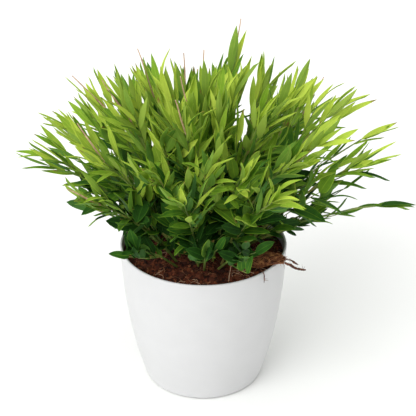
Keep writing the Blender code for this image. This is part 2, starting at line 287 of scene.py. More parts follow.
soil_profile = [(wall_radius(POT_FLOOR) - WALL - POT_FLOOR - GAP, POT_FLOOR + GAP)]
for z in np.linspace(POT_FLOOR * 3, soil_top, 9):
    soil_profile.append((wall_radius(z) - WALL - GAP, z))
for radius in np.arange(soil_edge - SOIL_RING_STEP, SOIL_RING_STEP / 2, -SOIL_RING_STEP):
    soil_profile.append((radius, soil_top))
soil = raise_rings("soil_bed", soil_profile, SOIL_SIDES)
for vertex in soil.data.vertices:
    if vertex.co.z > soil_top - 1e-6:
        vertex.co.z = crumbly(vertex.co.x, vertex.co.y)
shade(soil, 60)


def copies(master, name, matrices, states=None):
    """Copies a piece by each matrix, marks each copy with its state, and joins them all."""
    made = []
    for index, matrix in enumerate(matrices):
        mesh = master.data.copy()
        mesh.transform(matrix)
        if states is not None:
            state = mesh.attributes.new("state", "FLOAT_VECTOR", "POINT")
            state.data.foreach_set("vector", np.tile(states[index], len(mesh.vertices)))
        made.append(bpy.data.objects.new(name, mesh))
        bpy.context.scene.collection.objects.link(made[-1])
    return join(name, made)


def join(name, pieces):
    """Joins pieces into the first of them."""
    deselect()
    for piece in pieces:
        piece.select_set(True)
    bpy.context.view_layer.objects.active = pieces[0]
    if len(pieces) > 1:
        bpy.ops.object.join()
    pieces[0].name = name
    return pieces[0]


def discard(pieces):
    """Takes pieces that have been copied out of the scene."""
    for piece in pieces:
        bpy.data.objects.remove(piece, do_unlink=True)


def lump(name, subdivisions, rough, seed):
    """A rough crumb, 1 m across, from a ball whose points are moved in and out."""
    deselect()
    bpy.ops.mesh.primitive_ico_sphere_add(subdivisions=subdivisions, radius=0.5, location=(0, 0, 0))
    piece = bpy.context.object
    piece.name = name
    for vertex in piece.data.vertices:
        vertex.co *= 1 + rough * noise.noise(vertex.co * 2.6 + Vector((seed, 0, 0)))
    return piece


def scattered(count, inner, outer):
    """Random places on the soil between two radii."""
    radii = np.sqrt(rng.uniform(inner**2, outer**2, count))
    turns = rng.uniform(0, 2 * pi, count)
    return [(r * cos(a), r * sin(a)) for r, a in zip(radii, turns)]


def scatter(masters, count, sizes, flatness, sink):
    """Matrices that lay copies of each master on the soil: one list for each master."""
    lists = [[] for _ in masters]
    for index, (x, y) in enumerate(scattered(count, 0.0, soil_edge - 0.002)):
        size = rng.uniform(*sizes) * np.array([rng.uniform(0.6, 1.0), 1.0, rng.uniform(*flatness)])
        turn = Matrix.Rotation(rng.uniform(0, 2 * pi), 4, "Z")
        tilt = Matrix.Rotation(rng.uniform(-0.5, 0.5), 4, "X")
        rise = Vector((x, y, crumbly(x, y) + size[2] * (0.5 - sink)))
        scale = Matrix.Diagonal((*size, 1.0))
        lists[index % len(masters)].append(Matrix.Translation(rise) @ turn @ tilt @ scale)
    return lists


def tubes(name, runs, sides=1):
    """Closed tubes along runs of (place, radius), made of a bevelled curve."""
    curve = bpy.data.curves.new(name, "CURVE")
    curve.dimensions = "3D"
    curve.bevel_depth = 1.0
    curve.bevel_resolution = sides
    curve.use_fill_caps = True
    for run in runs:
        spline = curve.splines.new("POLY")
        spline.points.add(len(run) - 1)
        for point, (spot, radius) in zip(spline.points, run):
            point.co = (*spot, 1.0)
            point.radius = radius
    piece = bpy.data.objects.new(name, curve)
    bpy.context.scene.collection.objects.link(piece)
    deselect()
    piece.select_set(True)
    bpy.context.view_layer.objects.active = piece
    bpy.ops.object.convert(target="MESH")
    return bpy.context.object


def loose_fibre(x, y, length, radius, lift, points=9):
    """A curled fibre that starts on the soil at a place and wanders over it."""
    heading = rng.uniform(0, 2 * pi)
    curl = rng.uniform(-1.0, 1.0) * 6.0 / points
    run = []
    for index in range(points):
        part = index / (points - 1)
        high = lift * sin(pi * part) + 0.0004
        run.append((Vector((x, y, crumbly(x, y) + high)), radius * (1 - 0.6 * part)))
        heading += curl * rng.uniform(0.2, 1.4)
        step = length / (points - 1)
        x, y = x + cos(heading) * step, y + sin(heading) * step
        outside = sqrt(x * x + y * y) / (soil_edge - 0.001)
        if outside > 1:
            x, y = x / outside, y / outside
    return run


crumbs = [lump(f"crumb_{k}", 2, 1.1, 7.0 * k) for k in range(3)]
chips = [lump(f"chip_{k}", 2, 1.3, 5.0 * k + 2) for k in range(3)]
litter = []
for masters, count, sizes, flatness, sink in (
    (crumbs, CRUMB_COUNT, (0.0010, 0.0030), (0.6, 0.9), 0.25),
    (chips, CHIP_COUNT, (0.0025, 0.0065), (0.16, 0.35), 0.1),
):
    for master, matrices in zip(masters, scatter(masters, count, sizes, flatness, sink)):
        states = [(rng.uniform(0, 0.72), 0.0, 0.0) for _ in matrices]
        litter.append(copies(master, "litter", matrices, states))
discard(crumbs + chips)
soil_litter = join("soil_crumbs_and_chips", litter)
shade(soil_litter, 50)

fibres = []
for x, y in scattered(FIBRE_COUNT, 0.0, soil_edge - 0.002):
    fibres.append(loose_fibre(x, y, rng.uniform(0.006, 0.016), rng.uniform(0.00012, 0.00024), 0.0012))
soil_fibres = tubes("soil_coir_fibres", fibres)
shade(soil_fibres, 60)

threads = []
for x, y in scattered(THREAD_COUNT, 0.034, soil_edge - 0.004):
    threads.append(loose_fibre(x, y, rng.uniform(0.008, 0.020), rng.uniform(0.0002, 0.0003), 0.0022))
# One dead stem stands up from the soil in front, thin and pale
threads.append(
    [
        (Vector((0.0204, -0.0514, 0.1170)), 0.00034),
        (Vector((0.0208, -0.0506, 0.1235)), 0.00034),
        (Vector((0.0222, -0.0490, 0.1320)), 0.00030),
        (Vector((0.0229, -0.0470, 0.1400)), 0.00026),
        (Vector((0.0240, -0.0450, 0.1470)), 0.00018),
    ]
)
soil_threads = tubes("soil_dead_stems", threads)
shade(soil_threads, 60)

# Coir and peat, milled and damp: matt, dark red-brown crumbs of mixed tone, with random near-black
# patches that are painted shade for the gaps between crumbs. The crumbs are 1 to 3 mm across, so the
# pattern's patches are too.
damp_peat, tree, surface = new_material("damp_peat_and_coir")
place = add_node(tree, "ShaderNodeTexCoord").outputs["Object"]
patches = add_node(tree, "ShaderNodeTexNoise", Vector=place, Scale=140.0, Detail=6.0, Roughness=0.7)
specks = add_node(tree, "ShaderNodeTexVoronoi", Vector=place, Scale=520.0)
tone = add_node(
    tree, "ShaderNodeMath", {"operation": "MULTIPLY_ADD"},
    _0=specks.outputs["Color"], _1=0.35, _2=patches.outputs["Fac"],
)
# The darkest stop paints patches nearly black: painted shade for the gaps between the crumbs
stops = ((0.42, "#180A07"), (0.60, "#3A1A10"), (0.76, "#622F1B"), (0.95, "#8A4E2E"))
ramp = add_node(tree, "ShaderNodeValToRGB", stops=stops, Fac=tone.outputs[0])
tree.links.new(ramp.outputs["Color"], surface.inputs["Base Color"])
relief = add_node(
    tree, "ShaderNodeBump", Height=specks.outputs["Distance"], Strength=0.6, Distance=0.0008
)
tree.links.new(relief.outputs["Normal"], surface.inputs["Normal"])
surface.inputs["Roughness"].default_value = 0.92
surface.inputs["Specular IOR Level"].default_value = 0.25
fit(soil, damp_peat, "soil", "soil")

# Bark and coir crumbs: the same peat brown, each of its own tone, with a short grain
bark_crumbs, tree, surface = new_material("bark_and_coir_crumbs")
place = add_node(tree, "ShaderNodeTexCoord").outputs["Object"]
state = add_node(tree, "ShaderNodeAttribute", {"attribute_name": "state"}).outputs["Vector"]
each = add_node(tree, "ShaderNodeSeparateXYZ", Vector=state)
patches = add_node(tree, "ShaderNodeTexNoise", Vector=place, Scale=700.0, Detail=4.0).outputs["Fac"]
tone = add_node(
    tree, "ShaderNodeMath", {"operation": "MULTIPLY_ADD"}, _0=patches, _1=0.5, _2=each.outputs["X"]
)
stops = ((0.2, "#200E09"), (0.6, "#4A2416"), (0.95, "#7A4228"), (1.0, "#B58058"))
ramp = add_node(tree, "ShaderNodeValToRGB", stops=stops, Fac=tone.outputs[0])
tree.links.new(ramp.outputs["Color"], surface.inputs["Base Color"])
relief = add_node(tree, "ShaderNodeBump", Height=patches, Strength=0.5, Distance=0.0004)
tree.links.new(relief.outputs["Normal"], surface.inputs["Normal"])
surface.inputs["Roughness"].default_value = 0.88
surface.inputs["Specular IOR Level"].default_value = 0.3
fit(soil_litter, bark_crumbs, "soil")

# Coir fibre: dry husk fibre, orange-brown with a faint sheen
coir, tree, surface = new_material("dry_coir_fibre")
place = add_node(tree, "ShaderNodeTexCoord").outputs["Object"]
patches = add_node(tree, "ShaderNodeTexNoise", Vector=place, Scale=160.0, Detail=3.0).outputs["Fac"]
stops = ((0.35, "#5E301B"), (0.70, "#B98355"))
ramp = add_node(tree, "ShaderNodeValToRGB", stops=stops, Fac=patches)
tree.links.new(ramp.outputs["Color"], surface.inputs["Base Color"])
surface.inputs["Roughness"].default_value = 0.7
fit(soil_fibres, coir, "soil")

# Dead grass stem: dried and bleached to a pinkish straw
dead_stem, tree, surface = new_material("dried_grass_stem")
place = add_node(tree, "ShaderNodeTexCoord").outputs["Object"]
patches = add_node(tree, "ShaderNodeTexNoise", Vector=place, Scale=220.0, Detail=3.0).outputs["Fac"]
stops = ((0.3, "#A5795F"), (0.75, "#E0C0A0"))
ramp = add_node(tree, "ShaderNodeValToRGB", stops=stops, Fac=patches)
tree.links.new(ramp.outputs["Color"], surface.inputs["Base Color"])
surface.inputs["Roughness"].default_value = 0.65
fit(soil_threads, dead_stem, "soil")


# --- The root clump -----------------------------------------------------------------------
# Dead roots and coir, matted together, that have grown up over the front of the rim to the
# right. The mat is a lumpy core under hundreds of fine fibres that run mostly along it.

# Place, half width and half height of each section, from the soil out over the rim
ROOT_SECTIONS = (
    ((0.0215, -0.0245, 0.1240), 0.0018, 0.0012),
    ((0.0240, -0.0255, 0.1243), 0.0052, 0.0024),
    ((0.0300, -0.0260, 0.1250), 0.0075, 0.0036),
    ((0.0370, -0.0262, 0.1254), 0.0088, 0.0044),
    ((0.0480, -0.0290, 0.1250), 0.0084, 0.0042),
    ((0.0545, -0.0318, 0.1278), 0.0070, 0.0032),
    ((0.0600, -0.0343, 0.1296), 0.0055, 0.0027),
    ((0.0660, -0.0370, 0.1294), 0.0036, 0.0018),
)
MAT_SIDES = 32
MAT_RINGS = 40
MAT_ROUGH = 0.30
MAT_FIBRES = 420
FIBRE_RISE = 0.30  # how far a fibre stands off the mat, as a part of the mat's radius
FRAYED_ENDS = 26

rng = np.random.default_rng(5)
root_path = np.array([(*centre, width, height) for centre, width, height in ROOT_SECTIONS])
root_stations = np.linspace(0.0, 1.0, len(root_path))


def on_mat(station, angle, swell):
    """A point on the root mat, at a part of its length and an angle round it."""
    x, y, z, width, height = (np.interp(station, root_stations, column) for column in root_path.T)
    ahead = [np.interp(min(station + 0.04, 1.0), root_stations, column) for column in root_path.T]
    behind = [np.interp(max(station - 0.04, 0.0), root_stations, column) for column in root_path.T]
    along = Vector(ahead[:3]) - Vector(behind[:3])
    level = along.cross(Vector((0, 0, 1))).normalized()
    upright = level.cross(along).normalized()
    out = level * cos(angle) * width + upright * sin(angle) * height
    return Vector((x, y, z)) + out * swell


mat_profile = [(0.3, 0.0)]
mat_profile += [(1.0, station) for station in np.linspace(0.02, 0.98, MAT_RINGS)]
mat_profile.append((0.3, 1.0))
root_mat = raise_rings("root_mat", mat_profile, MAT_SIDES)
for vertex in root_mat.data.vertices:
    x, y, station = vertex.co
    angle = np.arctan2(y, x)
    reach = sqrt(x * x + y * y)
    spot = on_mat(station, angle, 1.0)
    rough = 1 + MAT_ROUGH * noise.fractal(spot * 420, 0.7, 2.0, 4)
    vertex.co = on_mat(station, angle, reach * rough * 0.92)
shade(root_mat, 70)

mat_fibres = []
for index in range(MAT_FIBRES):
    station = rng.uniform(0.0, 0.9)
    angle = rng.uniform(0, 2 * pi)
    heading = rng.choice((-1, 1)) * rng.uniform(0.02, 0.05)
    turning = rng.uniform(-0.28, 0.28)
    radius = rng.uniform(0.00012, 0.00030)
    run = []
    for step in range(9):
        swell = 1.0 + rng.uniform(0.0, FIBRE_RISE)
        run.append((on_mat(min(max(station, 0.0), 1.0), angle, swell), radius * (1 - 0.06 * step)))
        station += heading * rng.uniform(0.5, 1.3)
        angle += turning + rng.uniform(-0.25, 0.25)
    mat_fibres.append(run)
for index in range(FRAYED_ENDS):
    spot = on_mat(rng.uniform(0.86, 1.0), rng.uniform(0, 2 * pi), 0.9)
    heading = Vector((rng.uniform(0.3, 1.0), rng.uniform(-0.9, 0.3), rng.uniform(-0.5, 0.5)))
    length = rng.uniform(0.002, 0.007)
    run = []
    for step in range(6):
        run.append((spot.copy(), 0.00022 * (1 - 0.12 * step)))
        heading += Vector(rng.uniform(-0.5, 0.5, 3)) + Vector((0, 0, -0.12))
        spot = spot + heading.normalized() * length / 5
    mat_fibres.append(run)
root_fibres = tubes("root_mat_fibres", mat_fibres)
shade(root_fibres, 60)

# Each loose root: its course and its radius on the way, with how many hairs it has
LOOSE_ROOTS = (
    (
        ((0.0660, -0.0396, 0.1288), 0.0009),
        ((0.0700, -0.0409, 0.1276), 0.0011),
        ((0.0740, -0.0418, 0.1258), 0.0010),
        ((0.0785, -0.0426, 0.1244), 0.0009),
        ((0.0831, -0.0428, 0.1240), 0.0006),
    ),
    (
        ((0.0672, -0.0359, 0.1298), 0.0004),
        ((0.0705, -0.0372, 0.1300), 0.0005),
        ((0.0738, -0.0386, 0.1288), 0.0010),
        ((0.0768, -0.0392, 0.1268), 0.0003),
    ),
    (
        ((0.0452, -0.0402, 0.1246), 0.0006),
        ((0.0464, -0.0455, 0.1262), 0.0005),
        ((0.0474, -0.0503, 0.1272), 0.0004),
        ((0.0487, -0.0523, 0.1262), 0.0004),
        ((0.0490, -0.0529, 0.1225), 0.0004),
        ((0.0489, -0.0531, 0.1182), 0.0002),
    ),
)
ROOT_HAIRS = (9, 4, 2)
ROOT_STEPS = 26


def smooth_run(course, steps):
    """Points on a smooth curve through a course of (place, radius)."""
    rows = np.array([(*spot, radius) for spot, radius in course])
    rows = np.vstack([2 * rows[0] - rows[1], rows, 2 * rows[-1] - rows[-2]])
    run = []
    for at in np.linspace(0, len(rows) - 3.0001, steps):
        i, t = int(at), at - int(at)
        a, b, c, d = rows[i : i + 4]
        curve = b + 0.5 * t * (c - a + t * (2 * a - 5 * b + 4 * c - d + t * (3 * (b - c) + d - a)))
        run.append((Vector(curve[:3]), curve[3]))
    return run


loose_roots = []
for number, (course, hairs) in enumerate(zip(LOOSE_ROOTS, ROOT_HAIRS), 1):
    run = smooth_run(course, ROOT_STEPS)
    knotty = []
    for spot, radius in run:
        wander = noise.noise_vector(spot * 300) * radius * 0.5
        knotty.append((spot + wander, radius * (1 + 0.35 * noise.noise(spot * 900))))
    runs = [knotty]
    for _ in range(hairs):
        spot, radius = knotty[int(rng.integers(4, ROOT_STEPS - 2))]
        heading = Vector(rng.uniform(-1.0, 1.0, 3)) + Vector((0.8, 0, 0))
        length = rng.uniform(0.0015, 0.0045)
        run = []
        for step in range(5):
            run.append((spot.copy(), 0.00018 * (1 - 0.15 * step)))
            heading += Vector(rng.uniform(-0.4, 0.4, 3))
            spot = spot + heading.normalized() * length / 4
        runs.append(run)
    loose_root = tubes(f"loose_root_{number}", runs, 2)
    shade(loose_root, 60)
    loose_roots.append(loose_root)

# Root mat: coir and dead roots packed with peat, dark red-brown between orange-brown fibres
matted_root, tree, surface = new_material("matted_root_and_peat")
place = add_node(tree, "ShaderNodeTexCoord").outputs["Object"]
patches = add_node(tree, "ShaderNodeTexNoise", Vector=place, Scale=420.0, Detail=6.0, Roughness=0.7)
stops = ((0.38, "#1E0D08"), (0.66, "#7A4527"))
ramp = add_node(tree, "ShaderNodeValToRGB", stops=stops, Fac=patches.outputs["Fac"])
tree.links.new(ramp.outputs["Color"], surface.inputs["Base Color"])
relief = add_node(
    tree, "ShaderNodeBump", Height=patches.outputs["Fac"], Strength=0.7, Distance=0.0006
)
tree.links.new(relief.outputs["Normal"], surface.inputs["Normal"])
surface.inputs["Roughness"].default_value = 0.9
surface.inputs["Specular IOR Level"].default_value = 0.25
fit(root_mat, matted_root, "root_fibre", "root_clump")

# Dead root fibre: dry and stringy, from dark brown to orange-brown
root_fibre, tree, surface = new_material("dead_root_fibre")
place = add_node(tree, "ShaderNodeTexCoord").outputs["Object"]
patches = add_node(tree, "ShaderNodeTexNoise", Vector=place, Scale=330.0, Detail=3.0).outputs["Fac"]
stops = ((0.30, "#4A2616"), (0.50, "#8E5530"), (0.70, "#C48A54"))
ramp = add_node(tree, "ShaderNodeValToRGB", stops=stops, Fac=patches)
tree.links.new(ramp.outputs["Color"], surface.inputs["Base Color"])
surface.inputs["Roughness"].default_value = 0.75
fit(root_fibres, root_fibre, "root_fibre")

# Root bark: a dry skin, dark brown with paler rubbed spots, wrinkled along the root
root_bark, tree, surface = new_material("dry_root_bark")
place = add_node(tree, "ShaderNodeTexCoord").outputs["Object"]
patches = add_node(tree, "ShaderNodeTexNoise", Vector=place, Scale=600.0, Detail=5.0).outputs["Fac"]
stops = ((0.38, "#38190F"), (0.66, "#7E4A30"))
ramp = add_node(tree, "ShaderNodeValToRGB", stops=stops, Fac=patches)
tree.links.new(ramp.outputs["Color"], surface.inputs["Base Color"])
relief = add_node(tree, "ShaderNodeBump", Height=patches, Strength=0.6, Distance=0.0003)
tree.links.new(relief.outputs["Normal"], surface.inputs["Normal"])
surface.inputs["Roughness"].default_value = 0.8
for number, loose_root in enumerate(loose_roots, 1):
    fit(loose_root, root_bark, "root_strand", f"root_strand_{number}")


# --- The leaf blades ----------------------------------------------------------------------
# Each blade is a thin, folded strip that is widest before its middle and runs out to a fine
# point. A few shapes are made here, one unit long, and every leaf of the plant is a copy.

BLADE_ROWS = 8
VEINS = 9  # across a blade, drawn coarser than the real ones so that they show
DRY_POINT = (1.80, 1.92)  # place along the blade plus its age, from green to dry

# Outlines: the width at each row, from base to tip, as a part of the widest
LANCE = (0.13, 0.60, 0.88, 1.00, 0.98, 0.86, 0.63, 0.34, 0.0)
SLENDER = (0.16, 0.62, 0.90, 1.00, 0.92, 0.76, 0.54, 0.29, 0.0)
OVAL = (0.13, 0.70, 0.95, 1.00, 0.98, 0.90, 0.74, 0.46, 0.0)

# Outline; width, depth of the fold and thickness as parts of the length; droop and twist (degrees)
LANCES = (
    (LANCE, 0.186, 0.020, 0.008, 8, 5),
    (LANCE, 0.172, 0.034, 0.008, 22, -14),
    (LANCE, 0.198, 0.014, 0.008, -10, 12),
    (LANCE, 0.168, 0.042, 0.008, 34, 24),
    (LANCE, 0.206, 0.024, 0.008, 14, -26),
    (LANCE, 0.180, 0.052, 0.008, -18, -8),
)
SLENDERS = (
    (SLENDER, 0.140, 0.030, 0.008, 16, 10),
    (SLENDER, 0.120, 0.044, 0.008, -8, -18),
    (SLENDER, 0.155, 0.020, 0.008, 40, 20),
)
OVALS = (
    (OVAL, 0.43, 0.036, 0.014, 26, 8),
    (OVAL, 0.36, 0.060, 0.014, 44, -14),
    (OVAL, 0.40, 0.024, 0.014, 12, 16),
)


def pick(piece, chosen):
    """Selects, in edit mode, the points with the chosen numbers."""
    points = bmesh.from_edit_mesh(piece.data)
    for point in points.verts:
        point.select_set(point.index in chosen)
    points.select_flush(False)
    bmesh.update_edit_mesh(piece.data)


def make_blade(name, outline, width, fold, thickness, droop, twist):
    """One leaf blade from its base at the origin to its tip at +Y, upper side up."""
    deselect()
    bpy.ops.mesh.primitive_grid_add(x_subdivisions=2, y_subdivisions=BLADE_ROWS, size=1.0)
    blade = bpy.context.object
    blade.name = name
    rows = [round((vertex.co.y + 0.5) * BLADE_ROWS) for vertex in blade.data.vertices]
    rib = {vertex.index for vertex in blade.data.vertices if abs(vertex.co.x) < 0.1}
    bpy.ops.object.mode_set(mode="EDIT")
    bpy.ops.mesh.select_mode(type="VERT")
    bpy.ops.mesh.select_all(action="SELECT")
    bpy.ops.transform.translate(value=(0, 0.5, 0))
    for row, part in enumerate(outline):
        pick(blade, {i for i, at in enumerate(rows) if at == row})
        across = max(part * width, 1e-5)
        bpy.ops.transform.resize(value=(across, 1, 1), center_override=(0, row / BLADE_ROWS, 0))
    pick(blade, {i for i in rib if 0 < rows[i] < BLADE_ROWS})
    bpy.ops.transform.translate(value=(0, 0, -fold))
    bpy.ops.mesh.select_all(action="SELECT")
    bpy.ops.mesh.remove_doubles(threshold=0.001)
    bpy.ops.object.mode_set(mode="OBJECT")
    skin = blade.modifiers.new("thickness", "SOLIDIFY")
    skin.thickness = thickness
    skin.offset = 0.0
    bpy.ops.object.modifier_apply(modifier=skin.name)
    under = blade.data.attributes.new("under", "FLOAT", "FACE")
    under.data.foreach_set("value", [float(face.normal.z < 0) for face in blade.data.polygons])

    # The blade droops and twists row by row: all that lies beyond each row turns about it
    rows = [round(vertex.co.y * BLADE_ROWS) for vertex in blade.data.vertices]
    bpy.ops.object.mode_set(mode="EDIT")
    for row in range(1, BLADE_ROWS):
        here = [i for i, at in enumerate(rows) if at == row]
        points = bmesh.from_edit_mesh(blade.data)
        points.verts.ensure_lookup_table()
        hinge = sum((points.verts[i].co for i in here), Vector()) / len(here)
        pick(blade, {i for i, at in enumerate(rows) if at > row})
        for axis, angle in (("X", droop), ("Y", twist)):
            bpy.ops.transform.rotate(
                value=radians(angle) / BLADE_ROWS, orient_axis=axis, center_override=hinge
            )
    bpy.ops.mesh.select_all(action="SELECT")
    bpy.ops.mesh.normals_make_consistent(inside=False)
    bpy.ops.object.mode_set(mode="OBJECT")
    shade(blade, 50)
    return blade


lances = [make_blade(f"lance_{k}", *sizes) for k, sizes in enumerate(LANCES)]
slenders = [make_blade(f"slender_{k}", *sizes) for k, sizes in enumerate(SLENDERS)]
ovals = [make_blade(f"oval_{k}", *sizes) for k, sizes in enumerate(OVALS)]

# Grass blade, living: green from deep to yellow with its place on the plant, partly its own tone and
# partly painted light and shade, with fine veins along it, a paler rib and edge, a duller underside,
# and light shining through
living_blade, tree, surface = new_material("living_grass_blade")
place = add_node(tree, "ShaderNodeTexCoord").outputs["Object"]
chart = add_node(tree, "ShaderNodeTexCoord").outputs["UV"]
chart = add_node(tree, "ShaderNodeSeparateXYZ", Vector=chart)
state = add_node(tree, "ShaderNodeAttribute", {"attribute_name": "state"}).outputs["Vector"]
state = add_node(tree, "ShaderNodeSeparateXYZ", Vector=state)
under = add_node(tree, "ShaderNodeAttribute", {"attribute_name": "under"}).outputs["Fac"]
mottle = add_node(tree, "ShaderNodeTexNoise", Vector=place, Scale=160.0, Detail=3.0).outputs["Fac"]
veins = add_node(
    tree, "ShaderNodeMath", {"operation": "MULTIPLY"}, _0=chart.outputs["X"], _1=2 * pi * VEINS
)
veins = add_node(tree, "ShaderNodeMath", {"operation": "SINE"}, _0=veins.outputs[0])
off_rib = add_node(tree, "ShaderNodeMath", {"operation": "SUBTRACT"}, _0=chart.outputs["X"], _1=0.5)
off_rib = add_node(tree, "ShaderNodeMath", {"operation": "ABSOLUTE"}, _0=off_rib.outputs[0])
rib = add_node(
    tree, "ShaderNodeMapRange", _0=off_rib.outputs[0], _1=0.0, _2=0.06, _3=0.16, _4=0.0
)
edge = add_node(
    tree, "ShaderNodeMapRange", _0=off_rib.outputs[0], _1=0.42, _2=0.5, _3=0.0, _4=0.20
)
tone = add_node(
    tree, "ShaderNodeMath", {"operation": "MULTIPLY_ADD"}, _0=mottle, _1=0.22, _2=state.outputs["X"]
)
tone = add_node(
    tree, "ShaderNodeMath", {"operation": "MULTIPLY_ADD"},
    _0=veins.outputs[0], _1=0.035, _2=tone.outputs[0],
)
tone = add_node(tree, "ShaderNodeMath", {"operation": "ADD"}, _0=tone.outputs[0], _1=rib.outputs[0])
tone = add_node(tree, "ShaderNodeMath", {"operation": "ADD"}, _0=tone.outputs[0], _1=edge.outputs[0])
# The ramp's deep end is painted shade for the leaves deep in the clump, its yellow end painted light
# for those out at the side and high up
stops = ((0.05, "#183812"), (0.30, "#407427"), (0.62, "#92BC38"), (1.0, "#D6EA60"))
green = add_node(tree, "ShaderNodeValToRGB", stops=stops, Fac=tone.outputs[0])
below = add_node(tree, "ShaderNodeMath", {"operation": "MULTIPLY"}, _0=under, _1=0.45)
green = add_node(
    tree, "ShaderNodeMix", {"data_type": "RGBA"},
    _0=below.outputs[0], _6=green.outputs["Color"], _7=srgb("#5E8C4A"),
)
# A dry brown point on the older blades
dry = add_node(
    tree, "ShaderNodeMath", {"operation": "ADD"}, _0=chart.outputs["Y"], _1=state.outputs["Y"]
)
dry = add_node(
    tree, "ShaderNodeMapRange",
    _0=dry.outputs[0], _1=DRY_POINT[0], _2=DRY_POINT[1], _3=0.0, _4=0.8,
)
skin = add_node(
    tree, "ShaderNodeMix", {"data_type": "RGBA"},
    _0=dry.outputs[0], _6=green.outputs[2], _7=srgb("#9A7A42"),
)
tree.links.new(skin.outputs[2], surface.inputs["Base Color"])
ridges = add_node(tree, "ShaderNodeBump", Height=veins.outputs[0], Strength=0.3, Distance=0.00003)
tree.links.new(ridges.outputs["Normal"], surface.inputs["Normal"])
surface.inputs["Roughness"].default_value = 0.58
surface.inputs["IOR"].default_value = 1.45
surface.inputs["Specular IOR Level"].default_value = 0.12
through = add_node(tree, "ShaderNodeBsdfTranslucent", Color=skin.outputs[2])
output = tree.nodes["Material Output"]
glow = add_node(tree, "ShaderNodeMixShader", _0=0.36, _1=surface.outputs[0], _2=through.outputs[0])
tree.links.new(glow.outputs[0], output.inputs["Surface"])


# --- The shoots ---------------------------------------------------------------------------
# Grass culms, 1 to 2 mm thick, that leave the soil close together and arch outwards. Each has
# swollen joints, short side branches and leaves that lie close along it; the lowest leaves are
# short and oval and stand well off the culm.

SHOOT_SEED = 11
CULM_RADIUS = (0.0011, 0.0005)
CULM_SPACING = 0.0062
SOCKET_DEPTH = 0.006
COURSE_STEPS = 12
NUDGE = 0.035  # radians round the pot's axis
MOST_NUDGES = 20
CLUMP_CLEARANCE = 0.0025
FRONT_LEAN = 0.80  # of the usual lean, for the shoots in front
LONGER_TO_RIGHT = 0.05

# One ring of shoots each: how many, foot radius, lean at foot and tip (degrees), length
RINGS = (
    (5, 0.0065, 4, 14, 0.172),
    (11, 0.015, 13, 32, 0.174),
    (15, 0.024, 25, 53, 0.164),
    (9, 0.031, 36, 66, 0.154),
    (8, 0.037, 48, 80, 0.082),
)
RING_TURN = (0.3, 0.9, 0.1, 0.45, 0.95)

# Strays that reach out of the clump: azimuth, foot radius, leans (degrees), length
STRAYS = (
    (-5, 0.031, 54, 87, 0.152),
    (22, 0.030, 45, 75, 0.176),
    (160, 0.030, 42, 70, 0.148),
    (62, 0.019, 9, 16, 0.192),
)


def shoot_plans(rng):
    """Azimuth, foot radius, leans and length of every shoot: the strays, then ring by ring."""
    plans = []
    for azimuth, foot, lean_foot, lean_tip, length in STRAYS:
        plans.append((radians(azimuth), foot, radians(lean_foot), radians(lean_tip), length))
    for (count, foot, lean_foot, lean_tip, length), turn in zip(RINGS, RING_TURN):
        for index in range(count):
            azimuth = 2 * pi * (index + turn + rng.uniform(-0.18, 0.18)) / count
            steeper = 1 - (1 - FRONT_LEAN) * max(0.0, -sin(azimuth))
            leans = [radians(a) * steeper * rng.uniform(0.93, 1.07) for a in (lean_foot, lean_tip)]
            reach = length * (1 + LONGER_TO_RIGHT * cos(azimuth)) * rng.uniform(0.93, 1.05)
            plans.append((azimuth, foot, *leans, reach))
    return plans


def culm_course(azimuth, foot, lean_foot, lean_tip, length):
    """Points along a culm, which leaves the soil at one lean and arches over to another."""
    outward = Vector((cos(azimuth), sin(azimuth), 0.0))
    upward = Vector((0.0, 0.0, 1.0))
    spot = outward * foot
    spot.z = soil_height(spot.x, spot.y)
    points = [spot - (outward * sin(lean_foot) + upward * cos(lean_foot)) * SOCKET_DEPTH]
    points.append(spot.copy())
    for step in range(COURSE_STEPS):
        lean = lean_foot + (lean_tip - lean_foot) * (step + 0.5) / COURSE_STEPS
        spot += (outward * sin(lean) + upward * cos(lean)) * length / COURSE_STEPS
        points.append(spot.copy())
    return points


def dense_points(course):
    """Points along a culm, a third of a step apart."""
    points = np.array(course)
    steps = np.diff(points, axis=0)
    return np.concatenate([points[:-1] + steps * third / 3 for third in range(3)])


def is_free(course, others):
    """True if a culm keeps its distance from the others and from the root clump."""
    points = dense_points(course)
    for other in others:
        gaps = np.linalg.norm(points[:, None] - dense_points(other)[None], axis=2)
        if gaps.min() < CULM_SPACING:
            return False
    for centre, half_width, _ in ROOT_SECTIONS:
        if np.linalg.norm(points - centre, axis=1).min() < half_width + CLUMP_CLEARANCE:
            return False
    return True


def clear_courses(plans):
    """The culms' courses, each turned a little about the pot's axis if it would touch another."""
    courses = []
    for azimuth, *rest in plans:
        for nudge in range(2 * MOST_NUDGES):
            turn = NUDGE * ((nudge + 1) // 2) * (-1) ** nudge
            course = culm_course(azimuth + turn, *rest)
            if is_free(course, courses):
                break
        courses.append(course)
    return courses


def point_on(course, part):
    """Place and direction at a part of a culm's length above the soil."""
    at = 1 + part * (len(course) - 2)
    index = min(int(at), len(course) - 2)
    step = course[index + 1] - course[index]
    return course[index] + step * (at - index), step.normalized()


courses = clear_courses(shoot_plans(np.random.default_rng(SHOOT_SEED)))

# Along a culm, as parts of its course above the soil
LEAF_EVERY = 0.0112  # metres between leaves
LOWEST_LEAF = 0.10
OVAL_BELOW = 0.40  # leaves below this are oval
CULM_END = 0.79  # past it only blades reach
LOWEST_END = 0.62  # the furthest that a culm is cut back to keep the crown flat
LENGTH_AT = (0.0, 0.3, 0.55, 1.0)
LEAF_LENGTHS = (0.015, 0.021, 0.028, 0.034)
END_LEAVES = (0.04, 0.22, 0.30)  # angles of the last leaves off the culm
BRANCHES = 9
BRANCH_LEAVES = 4
STRAY_BRANCHES = 5  # on a shoot that reaches out by itself

# A low shoot has few, small, oval leaves, and none at its foot where it stands further forward
LOW_SHOOT = 0.185  # height of its tip
LOW_BRANCHES = 3
LOW_LEAF = 0.62  # of the usual length
LOW_END_LEAVES = (0.20, 0.70, 0.90)
LOW_OPENING = 0.35  # more than a side leaf's usual angle
FRONT_FOOT = 0.018
FRONT_LOWEST_LEAF = 0.34

